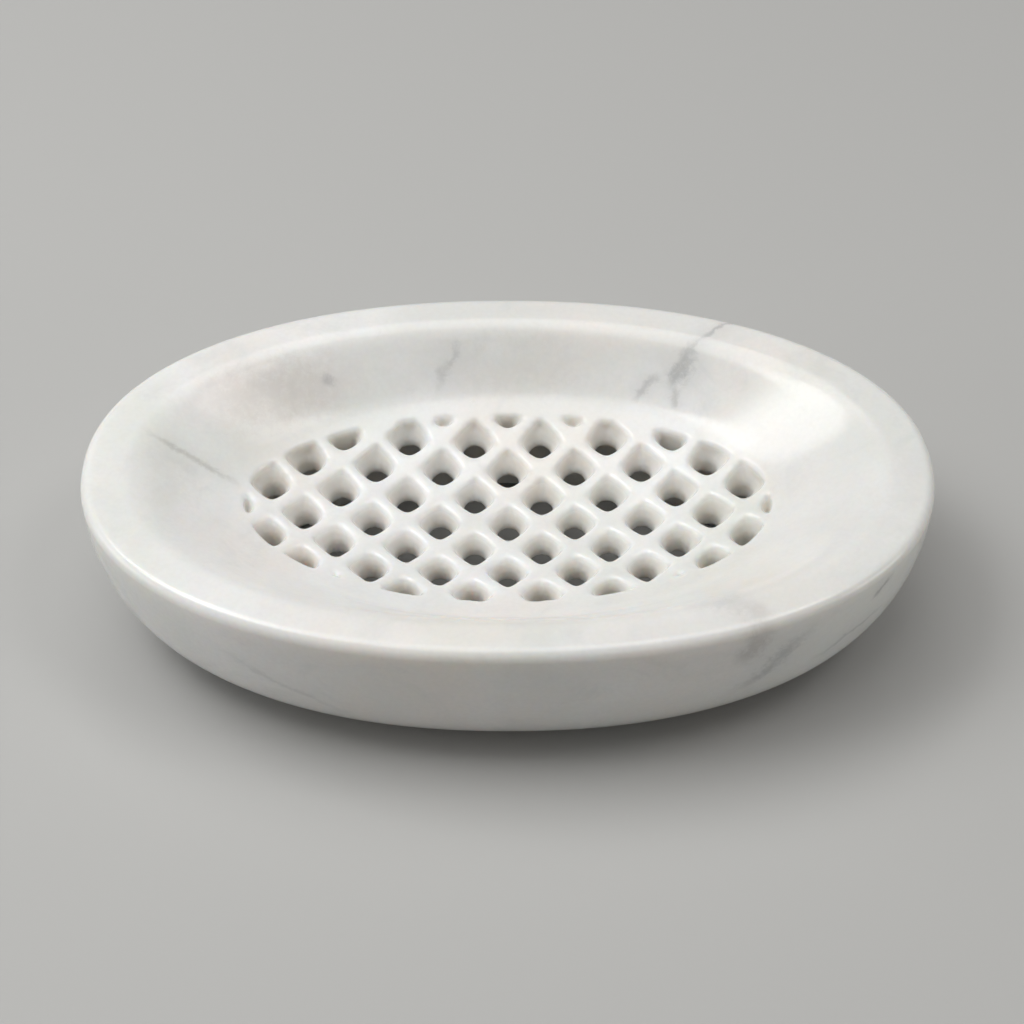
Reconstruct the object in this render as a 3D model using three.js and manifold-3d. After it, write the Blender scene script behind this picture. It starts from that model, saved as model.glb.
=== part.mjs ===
// Oval soap dish carved from one block of white marble.
// The bowl floor is pierced by a square lattice of drain holes, set at 45 degrees to the
// dish. The stone is relieved below the drain and stands on four stick-on rubber bumpers.
// Millimetres, +Z up. The origin is on the surface that the bumpers stand on, below the
// middle of the dish, and +X runs along its length.
import * as THREE from 'three';
import { mergeVertices } from 'three/addons/utils/BufferGeometryUtils.js';
import Module from 'manifold-3d';

const wasm = await Module();
wasm.setup();

// ---- driving dimensions ---------------------------------------------------------------
const LENGTH = 150;
const WIDTH = 86.4;
const STONE_HEIGHT = 31;
const PLAN_FULLNESS = 2.15; // superellipse exponent of the outline: 2 would be an ellipse
const WALL_FULLNESS = 2.15; // the same for the outer wall's upright curve
const RIM_ROUND = 2; // outer edge of the rim

const LIP_INSET_END = 10.2; // from the outer wall to where the bowl would break the rim
const LIP_INSET_SIDE = 8.7;
const LIP_ROUND = 2.4; // flat land given up to the soft inner lip
const LIP_SHARE = 0.74; // how far up the bowl's wall the soft lip starts
const BOWL_DEPTH = 15; // rim to the lowest point of the bowl floor
const FLOOR_SHARE = 0.6; // the dished floor's size, as a share of the outline
const FLOOR_RISE = 4.9; // floor height gained from the middle to the foot of the wall

const DRAIN_LENGTH = 94.4; // oval that bounds the pierced lattice
const DRAIN_WIDTH = 44.6;
const DRAIN_SHIFT = 0.7; // the drain oval is laid out a little to the back
const PITCH = 12.1; // from hole to hole along X and along Y
const LATTICE_SHIFT = -0.6; // the lattice is laid out a little to the front
const PARTIAL_REACH = 1.25; // a hole centred past the drain oval is cut up to this share
const MOUTH = 3.9; // half diagonal of a hole where it breaks the floor
const MOUTH_FULLNESS = 1.15; // exponent: 1 is a sharp diamond, 2 is round
const THROAT = 2.25; // radius of the round lower end of a hole
const FUNNEL_DEPTH = 3; // from the mouth down to the throat

const WEB = 3.6; // stone left under the middle of the floor
const CEILING_RISE = 2; // the relief's ceiling is dished less than the floor
const RELIEF_MARGIN = 1.2; // the relief reaches past the drain oval all round
const RELIEF_ROUND = 2.5;

const BUMPER_DIAMETER = 8;
const BUMPER_HEIGHT = 1.7;
const BUMPER_ROUND = 0.6;
const BUMPER_ANGLE = 40; // degrees round the base ring, from its long axis
const LAND_CLEARANCE = 0.3; // stone left beside a bumper, inside and outside
const TAPE_INSET = 0.3; // the adhesive disc is this much smaller in radius
const TAPE_THICKNESS = 0.3;

// ---- places that follow from them -----------------------------------------------------
const landZ = BUMPER_HEIGHT + TAPE_THICKNESS;
const rimZ = landZ + STONE_HEIGHT;
const landWidth = BUMPER_DIAMETER + 2 * LAND_CLEARANCE;
const outline = [LENGTH / 2, WIDTH / 2];
const drain = [DRAIN_LENGTH / 2, DRAIN_WIDTH / 2];
const relief = drain.map((half) => half + RELIEF_MARGIN);
const base = relief.map((half) => half + landWidth);
const lip = [outline[0] - LIP_INSET_END, outline[1] - LIP_INSET_SIDE];
const floorEdge = outline.map((half) => half * FLOOR_SHARE);
const floorZ = rimZ - BOWL_DEPTH;
const wallZ = floorZ + FLOOR_RISE;
const ceilingZ = floorZ - WEB;

const STONE_SIDES = 56;
const HOLE_SIDES = 8;
const BUMPER_SIDES = 20;

// ---- shapes ---------------------------------------------------------------------------
// A ring is an oval at one height: half sizes along X and Y, and the fullness of its outline.
function ring(halves, z, fullness = 2) {
  return { x: halves[0], y: halves[1], z, fullness };
}

function mix(from, to, share) {
  return from.map((value, i) => value + (to[i] - value) * share);
}

function steps(count, from = 0, to = 1) {
  return Array.from({ length: count }, (_, i) => from + ((to - from) * i) / (count - 1));
}

// A closed skin through a stack of rings, whose first and last close on the axis.
function skin(rings, sides) {
  const profile = rings.map((r) => new THREE.Vector2(r.x, r.z));
  const geometry = new THREE.LatheGeometry(profile, sides);
  const position = geometry.attributes.position;
  for (let i = 0; i <= sides; i += 1) {
    const angle = (2 * Math.PI * (i % sides)) / sides;
    const cos = Math.cos(angle);
    const sin = Math.sin(angle);
    rings.forEach((r, j) => {
      const x = r.x * Math.sign(cos) * Math.abs(cos) ** (2 / r.fullness);
      const y = r.y * Math.sign(sin) * Math.abs(sin) ** (2 / r.fullness);
      position.setXYZ(i * rings.length + j, x, y, r.z);
    });
  }
  return geometry;
}

function toSolid(geometry) {
  const bare = geometry.clone();
  bare.deleteAttribute('normal');
  bare.deleteAttribute('uv');
  const merged = mergeVertices(bare, 1e-4);
  const corners = merged.index.array;
  const kept = [];
  for (let i = 0; i < corners.length; i += 3) {
    const [a, b, c] = corners.slice(i, i + 3);
    if (a !== b && b !== c && c !== a) {
      kept.push(a, b, c);
    }
  }
  const vertProperties = new Float32Array(merged.attributes.position.array);
  const triVerts = new Uint32Array(kept);
  return new wasm.Manifold(new wasm.Mesh({ numProp: 3, vertProperties, triVerts }));
}

function toGeometry(solid) {
  const mesh = solid.getMesh();
  const geometry = new THREE.BufferGeometry();
  geometry.setAttribute('position', new THREE.BufferAttribute(mesh.vertProperties, 3));
  geometry.setIndex(new THREE.BufferAttribute(mesh.triVerts, 1));
  geometry.computeVertexNormals();
  return geometry;
}

// Height of the dished floor above a point, where the floor follows the outline's ovals.
function floorAt(x, y) {
  const share = Math.hypot(x / floorEdge[0], y / floorEdge[1]);
  return floorZ + FLOOR_RISE * share * share;
}

// Under side: the relief's dished ceiling, its rounded corner and its upright wall.
function reliefRings() {
  const corner = relief.map((half) => half - RELIEF_ROUND);
  const cornerZ = ceilingZ + CEILING_RISE;
  const ceiling = steps(3).map((share) => {
    return ring(mix([0, 0], corner, share), ceilingZ + CEILING_RISE * share * share);
  });
  const turn = steps(3, Math.PI / 6, Math.PI / 2).map((angle) => {
    const out = RELIEF_ROUND * Math.sin(angle);
    const down = RELIEF_ROUND * (1 - Math.cos(angle));
    return ring(corner.map((half) => half + out), cornerZ - down);
  });
  return [...ceiling, ...turn, ring(relief, landZ)];
}

// Outer wall: a full quarter oval from the base out to the widest line, and the rim's edge.
function outerRings() {
  const widestZ = rimZ - RIM_ROUND;
  const wall = steps(8, 0, Math.PI / 2).map((angle) => {
    const out = Math.sin(angle) ** (2 / WALL_FULLNESS);
    const down = Math.abs(Math.cos(angle)) ** (2 / WALL_FULLNESS);
    return ring(mix(base, outline, out), widestZ - (widestZ - landZ) * down, PLAN_FULLNESS);
  });
  const edge = steps(3, Math.PI / 6, Math.PI / 2).map((angle) => {
    const inset = RIM_ROUND * (1 - Math.cos(angle));
    const z = widestZ + RIM_ROUND * Math.sin(angle);
    return ring(outline.map((half) => half - inset), z, PLAN_FULLNESS);
  });
  return [...wall, ...edge];
}

// Bowl: the soft lip, the wall that flattens as it goes down, and the dished floor.
function bowlRings() {
  const spread = (lip[0] / floorEdge[0] + lip[1] / floorEdge[1]) / 2 - 1;
  const startSlope = 2 * FLOOR_RISE * spread;
  const wallAt = (share) => {
    const rise = rimZ - wallZ;
    const z = wallZ + startSlope * share + (rise - startSlope) * share * share;
    const fullness = 2 + (PLAN_FULLNESS - 2) * share;
    return ring(mix(floorEdge, lip, share), z, fullness);
  };
  const landEdge = ring(lip.map((half) => half + LIP_ROUND), rimZ, PLAN_FULLNESS);
  const corner = ring(lip, rimZ, PLAN_FULLNESS);
  const wallTop = wallAt(LIP_SHARE);
  const soft = steps(5).slice(0, -1).map((t) => {
    const bend = (key) => {
      const first = landEdge[key] * (1 - t) * (1 - t);
      return first + 2 * corner[key] * t * (1 - t) + wallTop[key] * t * t;
    };
    return { x: bend('x'), y: bend('y'), z: bend('z'), fullness: bend('fullness') };
  });
  const wall = steps(4, LIP_SHARE, 0).map(wallAt);
  const floor = steps(4, 1, 0).slice(1).map((share) => {
    return ring(mix([0, 0], floorEdge, share), floorZ + FLOOR_RISE * share * share);
  });
  return [...soft, ...wall, ...floor];
}

// One drain hole: a rounded diamond at its mouth that runs down into a round throat.
function hole(x, y) {
  const mouthZ = floorAt(x, y);
  const size = (half, z, fullness) => ring([half, half], z, fullness);
  const rings = [
    size(0, landZ, 2),
    size(THROAT, landZ, 2),
    size(THROAT, mouthZ - FUNNEL_DEPTH, 2),
    size(MOUTH, mouthZ, MOUTH_FULLNESS),
    size(MOUTH, rimZ, MOUTH_FULLNESS),
    size(0, rimZ, MOUTH_FULLNESS),
  ];
  return toSolid(skin(rings, HOLE_SIDES).translate(x, y, 0));
}

// All the holes, cut off by the drain oval.
function drainCut() {
  const columns = Math.ceil(drain[0] / PITCH) + 1;
  const rows = 2 * Math.ceil(drain[1] / PITCH) + 1;
  const bound = toSolid(
    skin([ring([0, 0], 0), ring(drain, 0), ring(drain, rimZ), ring([0, 0], rimZ)], STONE_SIDES)
      .translate(0, DRAIN_SHIFT, 0),
  );
  let cut = null;
  for (let row = -rows; row <= rows; row += 1) {
    for (let column = -columns; column <= columns; column += 1) {
      const x = PITCH * (column + (row % 2 === 0 ? 0 : 0.5));
      const y = (PITCH / 2) * row;
      const outside = (x / drain[0]) ** 2 + (y / drain[1]) ** 2 > PARTIAL_REACH;
      if (!outside) {
        const next = hole(x, y + LATTICE_SHIFT);
        cut = cut ? cut.add(next) : next;
      }
    }
  }
  return cut.intersect(bound);
}

// ---- pieces ---------------------------------------------------------------------------
const dish = new THREE.Group();

function addPiece(name, geometry, material) {
  const mesh = new THREE.Mesh(geometry, material);
  mesh.name = name;
  dish.add(mesh);
  return mesh;
}

function marbleDish() {
  const marble = new THREE.MeshStandardMaterial({ color: 0xe6e5e0, roughness: 0.3, metalness: 0 });
  const rings = [...reliefRings(), ...outerRings(), ...bowlRings()];
  const block = toSolid(skin(rings, STONE_SIDES));
  addPiece('marble_dish', toGeometry(block.subtract(drainCut())), marble);
}

function bumper(name, x, y) {
  const rubber = new THREE.MeshStandardMaterial({ color: 0xc9cac6, roughness: 0.5, metalness: 0 });
  const radius = BUMPER_DIAMETER / 2;
  const turn = steps(4, 0, Math.PI / 2).map((angle) => {
    const out = radius - BUMPER_ROUND * (1 - Math.sin(angle));
    return ring([out, out], BUMPER_ROUND * (1 - Math.cos(angle)));
  });
  const top = ring([radius, radius], BUMPER_HEIGHT);
  const rings = [ring([0, 0], 0), ...turn, top, ring([0, 0], BUMPER_HEIGHT)];
  addPiece(name, skin(rings, BUMPER_SIDES).translate(x, y, 0), rubber);
}

function adhesiveDisc(name, x, y) {
  const tape = new THREE.MeshStandardMaterial({ color: 0xb9b8b0, roughness: 0.7, metalness: 0 });
  const half = BUMPER_DIAMETER / 2 - TAPE_INSET;
  const rings = [
    ring([0, 0], BUMPER_HEIGHT),
    ring([half, half], BUMPER_HEIGHT),
    ring([half, half], landZ),
    ring([0, 0], landZ),
  ];
  addPiece(name, skin(rings, BUMPER_SIDES).translate(x, y, 0), tape);
}

marbleDish();

const corners = { front_left: [-1, -1], front_right: [1, -1], back_right: [1, 1], back_left: [-1, 1] };
const ringLine = mix(base, relief, 0.5);
const around = THREE.MathUtils.degToRad(BUMPER_ANGLE);
for (const [place, [sideX, sideY]] of Object.entries(corners)) {
  const x = sideX * ringLine[0] * Math.cos(around);
  const y = sideY * ringLine[1] * Math.sin(around);
  bumper(`bumper_${place}`, x, y);
  adhesiveDisc(`adhesive_${place}`, x, y);
}

export default dish;
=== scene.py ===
# An oval soap dish carved from one block of white marble, with a pierced lattice for a drain,
# on four stick-on silicone bumpers. The file follows the dish as it is made: the studio it is
# shown in, the stone, its finish, and then the bumpers and the tape that holds them.
import math
import random

import bmesh
import bpy
from mathutils import Matrix, Vector
from mathutils.bvhtree import BVHTree


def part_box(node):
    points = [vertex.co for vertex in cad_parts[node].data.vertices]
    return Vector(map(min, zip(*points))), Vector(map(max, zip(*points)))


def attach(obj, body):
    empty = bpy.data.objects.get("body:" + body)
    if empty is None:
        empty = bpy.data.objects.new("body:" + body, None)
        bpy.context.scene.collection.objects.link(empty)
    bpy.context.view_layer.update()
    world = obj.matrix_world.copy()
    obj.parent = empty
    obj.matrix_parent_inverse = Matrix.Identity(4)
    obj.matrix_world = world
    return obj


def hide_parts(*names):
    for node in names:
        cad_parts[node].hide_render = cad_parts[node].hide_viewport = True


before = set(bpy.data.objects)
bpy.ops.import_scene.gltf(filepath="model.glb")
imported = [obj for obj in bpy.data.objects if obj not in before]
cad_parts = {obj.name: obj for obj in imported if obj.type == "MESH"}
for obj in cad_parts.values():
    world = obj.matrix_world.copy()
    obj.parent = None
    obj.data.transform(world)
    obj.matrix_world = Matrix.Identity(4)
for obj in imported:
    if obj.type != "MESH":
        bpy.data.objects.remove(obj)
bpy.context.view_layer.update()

MM = 0.001
scene = bpy.context.scene


# ---- Studio ---------------------------------------------------------------------------
# A pale matt surface under a wide overhead light. A softbox hangs on each side, and two weak
# ones stand low beside the dish. The camera looks down on its long side.
CAMERA_HEIGHT_ANGLE = math.radians(48)
CAMERA_DISTANCE = 420 * MM
CAMERA_TARGET = Vector((0.76, 0, 20.34)) * MM
CAMERA_LENS = 82.2
CAMERA_FILM = 36

camera_data = bpy.data.cameras.new("camera")
camera_data.lens = CAMERA_LENS
camera_data.sensor_width = CAMERA_FILM
camera_data.clip_start = 0.01
camera = bpy.data.objects.new("camera", camera_data)
scene.collection.objects.link(camera)
camera_side = Vector((0, -math.cos(CAMERA_HEIGHT_ANGLE), math.sin(CAMERA_HEIGHT_ANGLE)))
camera.location = CAMERA_TARGET + camera_side * CAMERA_DISTANCE
camera.rotation_euler = (-camera_side).to_track_quat("-Z", "Y").to_euler()
scene.camera = camera


def soft_light(name, toward, distance, size, power, colour):
    data = bpy.data.lights.new(name, "AREA")
    data.shape = "RECTANGLE"
    data.size, data.size_y = size
    data.energy = power
    data.color = colour
    light = bpy.data.objects.new(name, data)
    scene.collection.objects.link(light)
    side = Vector(toward).normalized()
    light.location = side * distance
    light.rotation_euler = (-side).to_track_quat("-Z", "Y").to_euler()


soft_light("overhead", (-0.12, 0.10, 0.98), 1.1, (1.0, 0.8), 5.4, (1.0, 0.995, 0.985))
soft_light("softbox_left", (-0.51, 0.08, 0.85), 0.85, (0.46, 0.40), 2.75, (1.0, 1.0, 0.995))
soft_light("fill_right", (0.45, -0.06, 0.89), 0.95, (0.32, 0.27), 1.15, (1.0, 0.99, 0.975))
soft_light("low_left", (-0.95, -0.08, 0.30), 0.9, (0.5, 0.4), 1.5, (1.0, 1.0, 1.0))
soft_light("low_right", (0.95, -0.25, 0.26), 0.9, (0.4, 0.3), 1.0, (1.0, 0.99, 0.975))

world = bpy.data.worlds.new("studio")
scene.world = world
world.use_nodes = True
world_light = world.node_tree.nodes["Background"].inputs
world_light["Color"].default_value = (1.0, 0.96, 0.92, 1)
world_light["Strength"].default_value = 0.08
scene.view_settings.view_transform = "Standard"

FLOOR_REACH = 3.0
floor_bm = bmesh.new()
bmesh.ops.create_grid(floor_bm, x_segments=1, y_segments=1, size=FLOOR_REACH)
floor_mesh = bpy.data.meshes.new("floor")
floor_bm.to_mesh(floor_mesh)
floor_bm.free()
floor = bpy.data.objects.new("floor", floor_mesh)
scene.collection.objects.link(floor)
floor_material = bpy.data.materials.new("floor_paper")
floor_material.use_nodes = True
floor_shader = floor_material.node_tree.nodes["Principled BSDF"].inputs
floor_shader["Base Color"].default_value = (0.50, 0.50, 0.49, 1)
floor_shader["Roughness"].default_value = 0.85
floor_shader["Specular IOR Level"].default_value = 0.2
floor_mesh.materials.append(floor_material)


# ---- Marble dish: the blank -----------------------------------------------------------
# The bowl, its rim and wall are ground from one block of white marble, and the underside is
# relieved. A blank without holes is built first from oval rings, bridged one to the next.
dish_low, dish_high = (Vector(corner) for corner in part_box("marble_dish"))
OUTLINE = (dish_high.x, dish_high.y)
RIM_Z = dish_high.z
LAND_Z = dish_low.z
OUTLINE_FULLNESS = 2.15
RIM_ROUND = 2 * MM
LIP = (OUTLINE[0] - 9.2 * MM, OUTLINE[1] - 7.7 * MM)
LIP_ROUND = 2.0 * MM
LIP_SHARE = 0.80
WALL_BEND = 0.3
FLOOR_EDGE = (OUTLINE[0] * 0.6, OUTLINE[1] * 0.6)
FLOOR_Z = RIM_Z - 15 * MM
FLOOR_RISE = 4.9 * MM
DRAIN = (47.2 * MM, 22.3 * MM)
DRAIN_SHIFT = 0.7 * MM
RELIEF_MARGIN = 1.2 * MM
RELIEF = tuple(half + RELIEF_MARGIN for half in DRAIN)
RELIEF_ROUND = 2.5 * MM
LAND_EDGE_ROUND = 0.9 * MM
CEILING_Z = FLOOR_Z - 4.1 * MM
CEILING_RISE = 2 * MM
CEILING_TILT = 0.05
LAND_WIDTH = 8.6 * MM
BASE = tuple(half + LAND_WIDTH for half in RELIEF)
BLANK_SIDES = 192
QUARTER = math.pi / 2


def mix(start, end, share):
    return tuple(a + (b - a) * share for a, b in zip(start, end))


def grown(halves, by):
    return tuple(half + by for half in halves)


def shares(count, start=0.0, end=1.0):
    return [start + (end - start) * i / (count - 1) for i in range(count)]


def oval_edges(bm, halves, z, fullness, sides, centre=(0, 0)):
    circle = bmesh.ops.create_circle(bm, segments=sides, radius=1)["verts"]
    for vert in circle:
        x, y = vert.co.x, vert.co.y
        vert.co.x = centre[0] + halves[0] * math.copysign(abs(x) ** (2 / fullness), x)
        vert.co.y = centre[1] + halves[1] * math.copysign(abs(y) ** (2 / fullness), y)
        vert.co.z = z
    return list({edge for vert in circle for edge in vert.link_edges})


def bridged_stack(bm, rings, sides, centre=(0, 0)):
    """Closes a stack of (halves, z, fullness) rings into one skin with a cap at each end."""
    loops = [oval_edges(bm, halves, z, fullness, sides, centre) for halves, z, fullness in rings]
    for lower, upper in zip(loops, loops[1:]):
        bmesh.ops.bridge_loops(bm, edges=lower + upper)
    bmesh.ops.contextual_create(bm, geom=loops[0])
    bmesh.ops.contextual_create(bm, geom=loops[-1])


def relief_rings():
    corner = grown(RELIEF, -RELIEF_ROUND)
    corner_z = CEILING_Z + CEILING_RISE
    rings = []
    for share in shares(8, 0.02, 1):
        rings.append((mix((0, 0), corner, share), CEILING_Z + CEILING_RISE * share ** 2, 2))
    for angle in shares(7, QUARTER / 7, QUARTER):
        halves = grown(corner, RELIEF_ROUND * math.sin(angle))
        rings.append((halves, corner_z - RELIEF_ROUND * (1 - math.cos(angle)), 2))
    for angle in shares(6, 0, QUARTER):
        halves = grown(RELIEF, LAND_EDGE_ROUND * (1 - math.cos(angle)))
        rings.append((halves, LAND_Z + LAND_EDGE_ROUND * (1 - math.sin(angle)), 2))
    return rings


def outer_rings():
    widest_z = RIM_Z - RIM_ROUND
    rings = []
    for angle in shares(30, 0.002, QUARTER):
        out = math.sin(angle) ** (2 / OUTLINE_FULLNESS)
        down = max(math.cos(angle), 0) ** (2 / OUTLINE_FULLNESS)
        z = widest_z - (widest_z - LAND_Z) * down
        rings.append((mix(BASE, OUTLINE, out), z, OUTLINE_FULLNESS))
    for angle in shares(10, QUARTER / 10, QUARTER):
        halves = grown(OUTLINE, -RIM_ROUND * (1 - math.cos(angle)))
        rings.append((halves, widest_z + RIM_ROUND * math.sin(angle), OUTLINE_FULLNESS))
    return rings


def bowl_rings():
    spread = (LIP[0] / FLOOR_EDGE[0] + LIP[1] / FLOOR_EDGE[1]) / 2 - 1
    start_slope = 2 * FLOOR_RISE * spread
    wall_rise = RIM_Z - FLOOR_Z - FLOOR_RISE
    more_slope = (wall_rise - start_slope) / (1 - WALL_BEND / 2)

    def wall(share):
        bent = min(share, WALL_BEND)
        turned = bent ** 2 / (2 * WALL_BEND) + share - bent
        z = FLOOR_Z + FLOOR_RISE + start_slope * share + more_slope * turned
        return mix(FLOOR_EDGE, LIP, share), z, 2 + (OUTLINE_FULLNESS - 2) * share

    land = (grown(LIP, LIP_ROUND), RIM_Z, OUTLINE_FULLNESS)
    corner = (LIP, RIM_Z, OUTLINE_FULLNESS)
    top = wall(LIP_SHARE)
    rings = []
    for t in shares(14)[:-1]:
        weights = ((1 - t) ** 2, 2 * t * (1 - t), t ** 2)
        knots = list(zip(weights, (land, corner, top)))
        halves = tuple(sum(w * knot[0][axis] for w, knot in knots) for axis in (0, 1))
        z = sum(w * knot[1] for w, knot in knots)
        rings.append((halves, z, sum(w * knot[2] for w, knot in knots)))
    rings += [wall(share) for share in shares(14, LIP_SHARE, 0)]
    for share in shares(16, 1, 0.02)[1:]:
        rings.append((mix((0, 0), FLOOR_EDGE, share), FLOOR_Z + FLOOR_RISE * share ** 2, 2))
    return rings


def floor_height(x, y):
    return FLOOR_Z + FLOOR_RISE * ((x / FLOOR_EDGE[0]) ** 2 + (y / FLOOR_EDGE[1]) ** 2)


blank_bm = bmesh.new()
bridged_stack(blank_bm, relief_rings() + outer_rings() + bowl_rings(), BLANK_SIDES)
ceiling = []
highest = CEILING_Z + CEILING_RISE + 0.01 * MM
for vert in blank_bm.verts:
    inside = math.hypot(vert.co.x / RELIEF[0], vert.co.y / RELIEF[1]) < 1
    if inside and CEILING_Z - MM < vert.co.z < highest:
        ceiling.append(vert)
bmesh.ops.rotate(
    blank_bm, verts=ceiling, cent=(0, 0, CEILING_Z), matrix=Matrix.Rotation(CEILING_TILT, 3, "X")
)
bmesh.ops.recalc_face_normals(blank_bm, faces=blank_bm.faces)
blank_surface = BVHTree.FromBMesh(blank_bm)
dish_mesh = bpy.data.meshes.new("dish")
blank_bm.to_mesh(dish_mesh)
blank_bm.free()
dish = bpy.data.objects.new("dish", dish_mesh)
scene.collection.objects.link(dish)


# ---- Marble dish: the pierced lattice -------------------------------------------------
# The drain holes are drilled from below on a square grid at 45 degrees, and their mouths are
# opened by hand into soft diamonds. Holes that cross the drain oval stop at its edge.
PITCH = 12.1 * MM
LATTICE_SHIFT = -0.6 * MM
PARTIAL_REACH = 1.25
MOUTH = (4.45 * MM, 4.65 * MM)
MOUTH_FULLNESS = 1.1
THROAT = 2.05 * MM
FUNNEL_DEPTH = 3.2 * MM
FUNNEL_CURVE = 1.65
HAND_WANDER = 0.14 * MM
HAND_SIZE = 0.03
HOLE_SIDES = 48
hand = random.Random(7)


def cut_hole(bm, x, y):
    throat = (THROAT * (1 + hand.uniform(-HAND_SIZE, HAND_SIZE)),) * 2
    mouth = tuple(half * (1 + hand.uniform(-HAND_SIZE, HAND_SIZE)) for half in MOUTH)
    centre = (x + hand.uniform(-1, 1) * HAND_WANDER, y + hand.uniform(-1, 1) * HAND_WANDER)
    mouth_z = floor_height(x, y)
    rings = [(throat, LAND_Z, 2)]
    for t in shares(9):
        fullness = 2 + (MOUTH_FULLNESS - 2) * t
        depth = FUNNEL_DEPTH * (1 - t)
        rings.append((mix(throat, mouth, t ** FUNNEL_CURVE), mouth_z - depth, fullness))
    rings.append((mouth, RIM_Z, MOUTH_FULLNESS))
    bridged_stack(bm, rings, HOLE_SIDES, centre)


holes_bm = bmesh.new()
hole_centres = []
for row in range(-5, 6):
    for column in range(-5, 6):
        hole_x = PITCH * (column + (row % 2) / 2)
        hole_y = PITCH * row / 2
        if (hole_x / DRAIN[0]) ** 2 + (hole_y / DRAIN[1]) ** 2 < PARTIAL_REACH:
            hole_centres.append(Vector((hole_x, hole_y + LATTICE_SHIFT)))
            cut_hole(holes_bm, *hole_centres[-1])
bmesh.ops.recalc_face_normals(holes_bm, faces=holes_bm.faces)
bound_bm = bmesh.new()
bound_rings = [(DRAIN, LAND_Z / 2, 2), (DRAIN, RIM_Z * 1.1, 2)]
bridged_stack(bound_bm, bound_rings, BLANK_SIDES, (0, DRAIN_SHIFT))
bmesh.ops.recalc_face_normals(bound_bm, faces=bound_bm.faces)


def helper_object(name, bm):
    mesh = bpy.data.meshes.new(name)
    bm.to_mesh(mesh)
    bm.free()
    made = bpy.data.objects.new(name, mesh)
    scene.collection.objects.link(made)
    return made


def cut_with(target, tool, operation):
    cut = target.modifiers.new(operation.lower(), "BOOLEAN")
    cut.operation = operation
    cut.solver = "MANIFOLD"
    cut.object = tool


def bake_modifiers(made):
    graph = bpy.context.evaluated_depsgraph_get()
    baked = bpy.data.meshes.new_from_object(made.evaluated_get(graph))
    made.modifiers.clear()
    made.data = baked


holes = helper_object("holes", holes_bm)
bound = helper_object("bound", bound_bm)
cut_with(holes, bound, "INTERSECT")
bake_modifiers(holes)
cut_with(dish, holes, "DIFFERENCE")
remesh = dish.modifiers.new("remesh", "REMESH")
remesh.mode = "VOXEL"
remesh.voxel_size = 0.42 * MM
bake_modifiers(dish)
for helper in (holes, bound):
    bpy.data.objects.remove(helper)


# ---- Marble dish: hand finishing ------------------------------------------------------
# The lattice's edges are rubbed down until they are soft, and every plain surface is ground
# true. The bores and the relief under the drain stay as the tool left them.
SOFTEN_PASSES = 5
SOFTEN_DEPTH = 2.3 * MM
SOFTEN_PAST = 1.6 * MM
TRUE_FROM = 0.7 * MM
TRUE_BELOW = LAND_Z + 6 * MM
POLISH_DEPTH = 1.6 * MM
RAW_AND_SHADE_PAST = 1.3 * MM
MOST_TRIANGLES = 190000


def drain_distance(x, y):
    """How far a point is outside the drain oval, near enough for blending."""
    share = math.hypot(x / DRAIN[0], (y - DRAIN_SHIFT) / DRAIN[1])
    return (share - 1) * math.hypot(x, y) / max(share, 1e-6)


def smooth_share(value, low, high):
    t = min(max((value - low) / (high - low), 0), 1)
    return t * t * (3 - 2 * t)


dish_bm = bmesh.new()
dish_bm.from_mesh(dish.data)
lattice = []
for vert in dish_bm.verts:
    x, y, z = vert.co
    if drain_distance(x, y) < SOFTEN_PAST and floor_height(x, y) - z < SOFTEN_DEPTH:
        lattice.append(vert)
for _ in range(SOFTEN_PASSES):
    bmesh.ops.smooth_vert(
        dish_bm, verts=lattice, factor=0.5, use_axis_x=True, use_axis_y=True, use_axis_z=True
    )
for vert in dish_bm.verts:
    away = drain_distance(vert.co.x, vert.co.y)
    true_share = smooth_share(away, TRUE_FROM, SOFTEN_PAST)
    if vert.co.z < TRUE_BELOW:
        true_share = 1
    if true_share > 0:
        nearest = blank_surface.find_nearest(vert.co)[0]
        vert.co = vert.co.lerp(nearest, true_share)
# A depth mask for the drain bores. It makes them matt and tool-ringed, and it also paints them
# darker and browner as painted shade.
bore_raw_and_shade_layer = dish_bm.verts.layers.float.new("bore_raw_and_shade")
for vert in dish_bm.verts:
    depth = floor_height(vert.co.x, vert.co.y) - vert.co.z
    under = smooth_share(depth, POLISH_DEPTH / 3, POLISH_DEPTH)
    in_drain = drain_distance(vert.co.x, vert.co.y) < RAW_AND_SHADE_PAST
    vert[bore_raw_and_shade_layer] = under if in_drain else 0
dish_bm.to_mesh(dish.data)
dish_bm.free()

thin = dish.modifiers.new("thin", "DECIMATE")
thin.ratio = MOST_TRIANGLES / (2 * len(dish.data.polygons))
bake_modifiers(dish)
for polygon in dish.data.polygons:
    polygon.use_smooth = True


# ---- Marble finish --------------------------------------------------------------------
# White marble with grey clouds and a few broken veins that run through the block as sheets.
# It is polished outside and left matt in the bores, and light goes a little way into it.
def new_group(name, inputs, outputs):
    group = bpy.data.node_groups.new(name, "ShaderNodeTree")
    for socket, kind, value in inputs:
        made = group.interface.new_socket(socket, in_out="INPUT", socket_type=kind)
        if value is not None:
            made.default_value = value
    for socket, kind in outputs:
        group.interface.new_socket(socket, in_out="OUTPUT", socket_type=kind)
    return group


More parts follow.
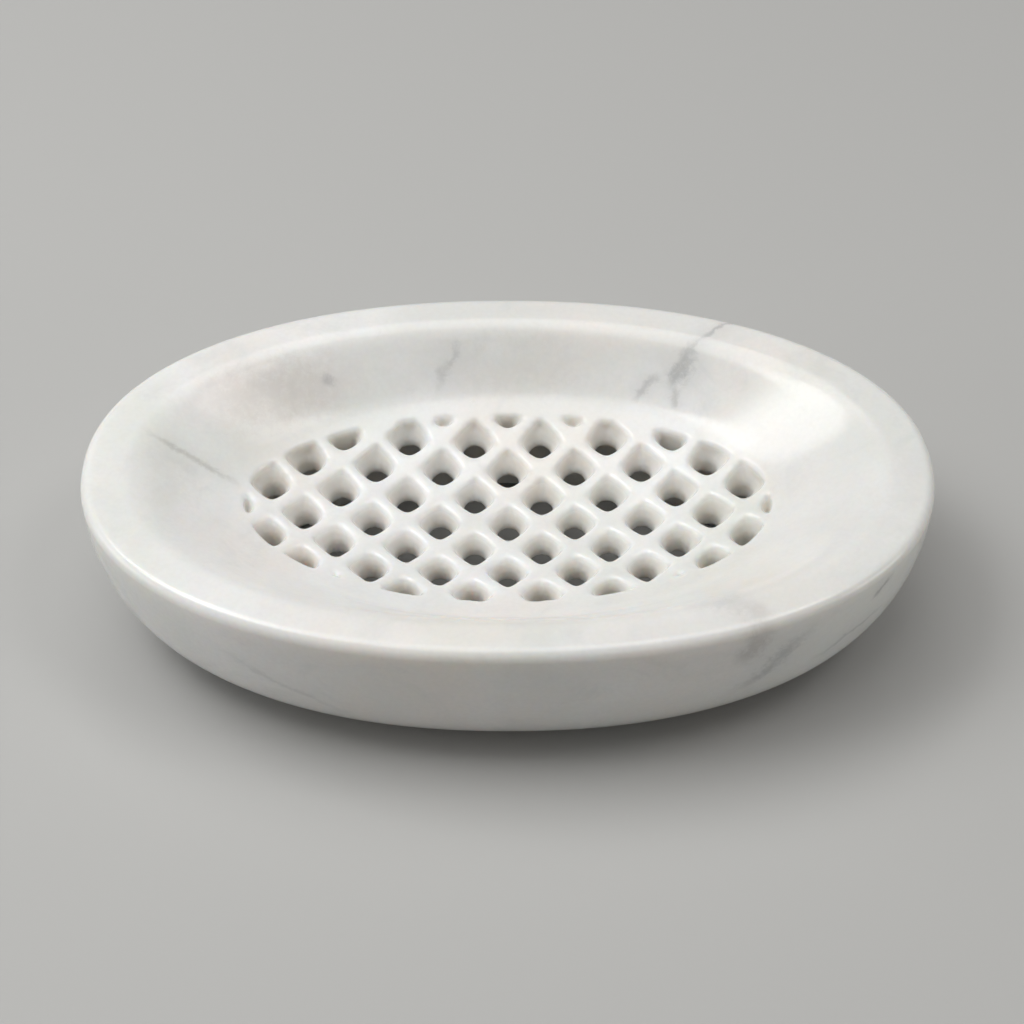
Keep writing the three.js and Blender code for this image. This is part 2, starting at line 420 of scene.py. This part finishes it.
class Board:
    """Places and joins the nodes of one material or group."""

    def __init__(self, tree):
        self.tree = tree

    def put(self, value, socket):
        if isinstance(value, bpy.types.NodeSocket):
            self.tree.links.new(value, socket)
        else:
            socket.default_value = value

    def node(self, kind, settings=None, **inputs):
        made = self.tree.nodes.new(kind)
        for key, value in (settings or {}).items():
            setattr(made, key, value)
        for key, value in inputs.items():
            self.put(value, made.inputs[key.replace("_", " ")])
        return made

    def math(self, operation, first, second=0.0, clamp=False):
        made = self.tree.nodes.new("ShaderNodeMath")
        made.operation = operation
        made.use_clamp = clamp
        self.put(first, made.inputs[0])
        self.put(second, made.inputs[1])
        return made.outputs[0]

    def vector_math(self, operation, first, second=None):
        made = self.tree.nodes.new("ShaderNodeVectorMath")
        made.operation = operation
        self.put(first, made.inputs[0])
        if second is not None:
            self.put(second, made.inputs[1])
        return made.outputs["Value" if operation in ("DOT_PRODUCT", "LENGTH") else 0]

    def noise(self, where, scale, detail=4.0, roughness=0.55, distortion=0.0):
        made = self.node("ShaderNodeTexNoise", Vector=where, Scale=scale, Detail=detail)
        self.put(roughness, made.inputs["Roughness"])
        self.put(distortion, made.inputs["Distortion"])
        return made

    def band(self, value, low, high, to_low=0.0, to_high=1.0):
        made = self.tree.nodes.new("ShaderNodeMapRange")
        made.interpolation_type = "SMOOTHSTEP"
        for socket, number in zip(made.inputs, (value, low, high, to_low, to_high)):
            self.put(number, socket)
        return made.outputs[0]

    def blend(self, share, first, second, mode="MIX"):
        made = self.tree.nodes.new("ShaderNodeMix")
        made.data_type = "RGBA"
        made.blend_type = mode
        self.put(share, made.inputs["Factor"])
        self.put(first, made.inputs[6])
        self.put(second, made.inputs[7])
        return made.outputs[2]


def make_vein_sheet():
    """A vein: a thin sheet through the stone with a smoky edge that fades out at its ends."""
    group = new_group(
        "vein_sheet",
        [
            ("Warped Coordinate", "NodeSocketVector", None),
            ("Middle", "NodeSocketVector", None),
            ("Across", "NodeSocketVector", None),
            ("Reach", "NodeSocketFloat", 0.02),
            ("Width", "NodeSocketFloat", 0.001),
            ("Feather", "NodeSocketFloat", 0.0),
        ],
        [("Line", "NodeSocketFloat"), ("Haze", "NodeSocketFloat")],
    )
    board = Board(group)
    given = group.nodes.new("NodeGroupInput").outputs
    out = group.nodes.new("NodeGroupOutput").inputs
    place = board.vector_math("SUBTRACT", given["Warped Coordinate"], given["Middle"])
    aside = board.vector_math("DOT_PRODUCT", place, given["Across"])
    gap = board.math("DIVIDE", board.math("ABSOLUTE", aside), given["Width"])
    reach = board.math("DIVIDE", board.vector_math("LENGTH", place), given["Reach"])
    fade = board.band(reach, 0.25, 1.0, 1.0, 0.0)
    feathered = board.math("ADD", gap, board.math("MULTIPLY", given["Feather"], 3.2))
    line = board.math("MULTIPLY", board.band(feathered, 0.0, 1.5, 1.0, 0.0), fade)
    spread = board.math("ADD", gap, board.math("MULTIPLY", given["Feather"], 5.0))
    haze = board.math("MULTIPLY", board.band(spread, 0.0, 7.5, 1.0, 0.0), fade)
    group.links.new(line, out["Line"])
    group.links.new(haze, out["Haze"])
    return group


def make_fine_grain():
    """Small uneven height and shade, for a surface that is close to smooth."""
    group = new_group(
        "fine_grain",
        [
            ("Coordinate", "NodeSocketVector", None),
            ("Grain Scale", "NodeSocketFloat", 900.0),
            ("Depth", "NodeSocketFloat", 1.0),
        ],
        [("Height", "NodeSocketFloat"), ("Shade", "NodeSocketFloat")],
    )
    board = Board(group)
    given = group.nodes.new("NodeGroupInput").outputs
    out = group.nodes.new("NodeGroupOutput").inputs
    grain = board.noise(given["Coordinate"], given["Grain Scale"], 5.0, 0.6).outputs[0]
    crystal = board.node("ShaderNodeTexVoronoi", Vector=given["Coordinate"])
    board.put(given["Grain Scale"], crystal.inputs["Scale"])
    shade = board.math("ADD", grain, board.math("MULTIPLY", crystal.outputs["Distance"], 0.4))
    group.links.new(board.math("MULTIPLY", grain, given["Depth"]), out["Height"])
    group.links.new(shade, out["Shade"])
    return group


VEIN_SHEET = make_vein_sheet()
FINE_GRAIN = make_fine_grain()
UPRIGHT = (0, 0, 1)
ASH = (0.20, 0.215, 0.225, 1)
OLIVE = (0.26, 0.25, 0.20, 1)
UMBER = (0.30, 0.25, 0.215, 1)
ROSE = (0.46, 0.39, 0.35, 1)

# Each vein: its two ends in mm, a direction that it runs into the stone, its width in mm, how
# strong it is, and its mineral colour. The last three are wide, weak clouds.
VEINS = [
    ((46, 37.3, 33), (33.5, 30.2, 30), UPRIGHT, 0.6, 0.34, ASH),
    ((35.8, 32.4, 32), (29.4, 25.3, 26), UPRIGHT, 1.45, 0.38, ASH),
    ((31, 26.3, 26), (29.4, 21.5, 24), UPRIGHT, 0.8, 0.24, ASH),
    ((28.2, 27.6, 28.5), (22.2, 23.6, 24), UPRIGHT, 0.8, 0.28, ASH),
    ((-8.5, 33.5, 31), (-13.5, 26.5, 23.5), UPRIGHT, 0.9, 0.22, ASH),
    ((-33.4, 28.4, 29), (-34, 25.4, 27), UPRIGHT, 1.5, 0.32, ASH),
    ((-64.5, 9.4, 33), (-49.5, 2.6, 23), UPRIGHT, 0.75, 0.30, OLIVE),
    ((51.5, -32.2, 29), (37.5, -37, 14), (0.30, -0.95, 0.0), 1.5, 0.32, ASH),
    ((45, -35.5, 33), (38.5, -37.5, 25), (0.30, -0.95, 0.0), 3.2, 0.30, UMBER),
    ((65.8, -23, 30), (62, -26, 26.5), (0.62, -0.78, 0.0), 0.7, 0.40, ASH),
    ((65, -22.5, 21.5), (53, -31, 17), (0.60, -0.78, -0.2), 0.8, 0.26, ASH),
    ((30, -30.5, 29), (43, -32, 33), UPRIGHT, 2.4, 0.13, ASH),
    ((-46, -27, 24), (-28, -40, 12), (-0.4, -0.9, 0.0), 1.0, 0.16, ASH),
    ((-44, 33, 8), (-24, 43, 28), (-0.3, 0.95, 0.0), 1.2, 0.38, ASH),
    ((-18, 41, 12), (-30, 40, 24), (-0.3, 0.95, 0.0), 0.7, 0.26, ASH),
    ((36, 38, 10), (56, 26, 27), (0.5, 0.85, 0.0), 1.1, 0.34, ASH),
    ((8, 43, 26), (22, 42, 10), (0.1, 1.0, 0.0), 1.0, 0.22, UMBER),
    ((-64, -6, 4), (-46, -24, 3), UPRIGHT, 1.1, 0.34, ASH),
    ((44, 24, 3), (60, 4, 4), UPRIGHT, 0.9, 0.30, OLIVE),
    ((-58, 15, 29), (-28, 28, 28), UPRIGHT, 4.5, 0.22, ROSE),
    ((-62, 8, 30), (-57, -10, 28), UPRIGHT, 3.5, 0.10, ROSE),
    ((-16, 30, 27), (20, 31.5, 28), UPRIGHT, 3.5, 0.07, OLIVE),
]


def marble_finish():
    material = bpy.data.materials.new("white_marble")
    material.use_nodes = True
    tree = material.node_tree
    board = Board(tree)
    shader = tree.nodes["Principled BSDF"].inputs
    where = board.node("ShaderNodeTexCoord").outputs["Object"]
    # The bore mask: it sets matt roughness and tool rings, and it also carries painted shade in
    # the bores.
    bore_raw_and_shade = board.node("ShaderNodeAttribute", {"attribute_name": "bore_raw_and_shade"}).outputs["Fac"]

    cloud = board.noise(where, 21.0, 5.0, 0.55, 0.5).outputs[0]
    colour = board.blend(
        board.band(cloud, 0.30, 0.72), (0.905, 0.905, 0.90, 1), (0.80, 0.805, 0.785, 1)
    )
    tint = board.noise(where, 30.0, 3.0, 0.5).outputs["Color"]
    tint = board.node("ShaderNodeSeparateColor", Color=tint)
    blush = board.math("MULTIPLY", board.band(tint.outputs[1], 0.44, 0.74), 0.75)
    colour = board.blend(blush, colour, (0.875, 0.825, 0.78, 1))
    moss = board.math("MULTIPLY", board.band(tint.outputs[2], 0.46, 0.76), 0.6)
    colour = board.blend(moss, colour, (0.80, 0.825, 0.775, 1))
    smoke = board.noise(where, 95.0, 5.0, 0.62, 0.8).outputs[0]
    smoke = board.math("MULTIPLY", board.band(smoke, 0.50, 0.80), 0.38)
    colour = board.blend(smoke, colour, (0.66, 0.675, 0.67, 1))

    bend = board.noise(where, 75.0, 2.0, 0.5).outputs["Color"]
    bend = board.vector_math("SUBTRACT", bend, (0.5, 0.5, 0.5))
    bend = board.vector_math("MULTIPLY", bend, (0.007, 0.007, 0.007))
    crinkle = board.noise(where, 330.0, 3.0, 0.6).outputs["Color"]
    crinkle = board.vector_math("SUBTRACT", crinkle, (0.5, 0.5, 0.5))
    crinkle = board.vector_math("MULTIPLY", crinkle, (0.0022, 0.0022, 0.0022))
    warped = board.vector_math("ADD", board.vector_math("ADD", where, bend), crinkle)
    feather = board.noise(where, 620.0, 6.0, 0.72, 0.3).outputs[0]
    feather = board.math("SUBTRACT", feather, 0.46)
    for start, end, depth, width, strength, mineral in VEINS:
        start, end = Vector(start) * MM, Vector(end) * MM
        vein = board.node(
            "ShaderNodeGroup",
            {"node_tree": VEIN_SHEET},
            Warped_Coordinate=warped,
            Middle=(start + end) / 2,
            Across=(end - start).cross(Vector(depth)).normalized(),
            Reach=(end - start).length * 0.62,
            Width=width * MM,
            Feather=feather,
        )
        haze = board.math("MULTIPLY", vein.outputs["Haze"], strength * 0.75)
        colour = board.blend(haze, colour, tuple(0.55 + value * 0.35 for value in mineral))
        line = board.math("MULTIPLY", vein.outputs["Line"], strength)
        colour = board.blend(line, colour, mineral)

    grain = board.node("ShaderNodeGroup", {"node_tree": FINE_GRAIN}, Coordinate=where, Depth=1.0)
    grain.inputs["Grain Scale"].default_value = 1100
    fleck = board.math("MULTIPLY", board.band(grain.outputs["Shade"], 0.45, 1.0), 0.10)
    colour = board.blend(fleck, colour, (0.62, 0.62, 0.60, 1))
    # Painted shade: the bores are coloured darker and browner the deeper they go.
    painted_bore_shade = board.math("MULTIPLY", bore_raw_and_shade, 0.30)
    colour = board.blend(painted_bore_shade, colour, (0.66, 0.60, 0.51, 1))
    board.put(colour, shader["Base Color"])

    smear = board.band(board.noise(where, 45.0, 4.0, 0.6).outputs[0], 0.3, 0.7, 0.15, 0.24)
    rough = board.math("MULTIPLY_ADD", bore_raw_and_shade, 0.35)
    board.put(smear, rough.node.inputs[2])
    board.put(rough, shader["Roughness"])

    rings = board.node("ShaderNodeTexWave", {"bands_direction": "Z"}, Vector=where)
    rings.inputs["Scale"].default_value = 320
    rings.inputs["Distortion"].default_value = 3
    tool = board.math("MULTIPLY", board.math("MULTIPLY", rings.outputs["Fac"], bore_raw_and_shade), 1.2)
    height = board.math("ADD", grain.outputs["Height"], tool)
    bump = board.node("ShaderNodeBump", Height=height)
    bump.inputs["Strength"].default_value = 0.25
    bump.inputs["Distance"].default_value = 0.00004
    board.put(bump.outputs[0], shader["Normal"])

    shader["IOR"].default_value = 1.5
    shader["Subsurface Weight"].default_value = 0.85
    shader["Subsurface Radius"].default_value = (1.0, 0.82, 0.66)
    shader["Subsurface Scale"].default_value = 0.0035
    return material


dish.data.materials.clear()
dish.data.materials.append(marble_finish())
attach(dish, "root")
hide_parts("marble_dish")


# ---- Silicone bumpers -----------------------------------------------------------------
# Four moulded discs of clear silicone, a little wider at the stone than at the foot, with a
# rounded lower edge and a shallow dimple from the mould. Each stands on the washstand.
BUMPER_SIDES = 48
BUMPER_ROUND = 0.6 * MM
BUMPER_DRAFT = 0.15 * MM
DIMPLE_DEPTH = 0.12 * MM


def bumper_finish():
    material = bpy.data.materials.new("clear_silicone")
    material.use_nodes = True
    board = Board(material.node_tree)
    shader = material.node_tree.nodes["Principled BSDF"].inputs
    where = board.node("ShaderNodeTexCoord").outputs["Object"]
    grain = board.node("ShaderNodeGroup", {"node_tree": FINE_GRAIN}, Coordinate=where, Depth=1.0)
    grain.inputs["Grain Scale"].default_value = 2600
    dust = board.band(board.noise(where, 700.0, 5.0, 0.65).outputs[0], 0.45, 0.75)
    colour = board.blend(dust, (0.66, 0.68, 0.665, 1), (0.48, 0.48, 0.455, 1))
    board.put(colour, shader["Base Color"])
    board.put(board.band(dust, 0.0, 1.0, 0.28, 0.6), shader["Roughness"])
    bump = board.node("ShaderNodeBump", Height=grain.outputs["Height"])
    bump.inputs["Strength"].default_value = 0.3
    bump.inputs["Distance"].default_value = 0.00003
    board.put(bump.outputs[0], shader["Normal"])
    shader["IOR"].default_value = 1.41
    shader["Transmission Weight"].default_value = 0.35
    shader["Subsurface Weight"].default_value = 0.3
    shader["Subsurface Scale"].default_value = 0.002
    return material


def make_bumper(place, material):
    node = f"bumper_{place}"
    low, high = (Vector(corner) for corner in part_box(node))
    centre = ((low.x + high.x) / 2, (low.y + high.y) / 2)
    radius = (high.x - low.x) / 2
    foot = radius - BUMPER_DRAFT
    flat = foot - BUMPER_ROUND
    rings = []
    for share in shares(9, 0.06, 0.95):
        rings.append(((flat * share,) * 2, low.z + DIMPLE_DEPTH * (1 - share**2), 2))
    for angle in shares(7, 0, QUARTER):
        half = flat + BUMPER_ROUND * math.sin(angle)
        rings.append(((half,) * 2, low.z + BUMPER_ROUND * (1 - math.cos(angle)), 2))
    rings.append(((radius,) * 2, high.z - 0.1 * MM, 2))
    rings.append(((radius - 0.05 * MM,) * 2, high.z, 2))
    bm = bmesh.new()
    bridged_stack(bm, rings, BUMPER_SIDES, centre)
    bmesh.ops.recalc_face_normals(bm, faces=bm.faces)
    for face in bm.faces:
        face.smooth = len(face.verts) == 4
    made = helper_object(f"silicone_{place}", bm)
    made.data.materials.append(material)
    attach(made, "root")
    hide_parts(node)


PLACES = ("front_left", "front_right", "back_right", "back_left")
silicone = bumper_finish()
for place in PLACES:
    make_bumper(place, silicone)


# ---- Adhesive discs -------------------------------------------------------------------
# A disc of acrylic foam tape holds each bumper on the ground land of the stone. Its cut edge
# bulges a little where the bumper was pressed home.
TAPE_SIDES = 48
TAPE_BULGE = 0.06 * MM


def tape_finish():
    material = bpy.data.materials.new("acrylic_foam_tape")
    material.use_nodes = True
    board = Board(material.node_tree)
    shader = material.node_tree.nodes["Principled BSDF"].inputs
    where = board.node("ShaderNodeTexCoord").outputs["Object"]
    grain = board.node("ShaderNodeGroup", {"node_tree": FINE_GRAIN}, Coordinate=where, Depth=1.0)
    grain.inputs["Grain Scale"].default_value = 6000
    cells = board.band(grain.outputs["Shade"], 0.4, 1.0)
    board.put(
        board.blend(cells, (0.56, 0.55, 0.50, 1), (0.42, 0.41, 0.37, 1)), shader["Base Color"]
    )
    board.put(board.band(cells, 0.0, 1.0, 0.6, 0.85), shader["Roughness"])
    bump = board.node("ShaderNodeBump", Height=grain.outputs["Height"])
    bump.inputs["Strength"].default_value = 0.5
    bump.inputs["Distance"].default_value = 0.00003
    board.put(bump.outputs[0], shader["Normal"])
    return material


def make_tape(place, material):
    node = f"adhesive_{place}"
    low, high = (Vector(corner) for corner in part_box(node))
    centre = ((low.x + high.x) / 2, (low.y + high.y) / 2)
    radius = (high.x - low.x) / 2 - TAPE_BULGE
    rings = []
    for share in shares(5):
        half = radius + TAPE_BULGE * math.sin(math.pi * share)
        rings.append(((half, half), low.z + (high.z - low.z) * share, 2))
    bm = bmesh.new()
    bridged_stack(bm, rings, TAPE_SIDES, centre)
    bmesh.ops.recalc_face_normals(bm, faces=bm.faces)
    for face in bm.faces:
        face.smooth = len(face.verts) == 4
    made = helper_object(f"tape_{place}", bm)
    made.data.materials.append(material)
    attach(made, "root")
    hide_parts(node)


foam_tape = tape_finish()
for place in PLACES:
    make_tape(place, foam_tape)
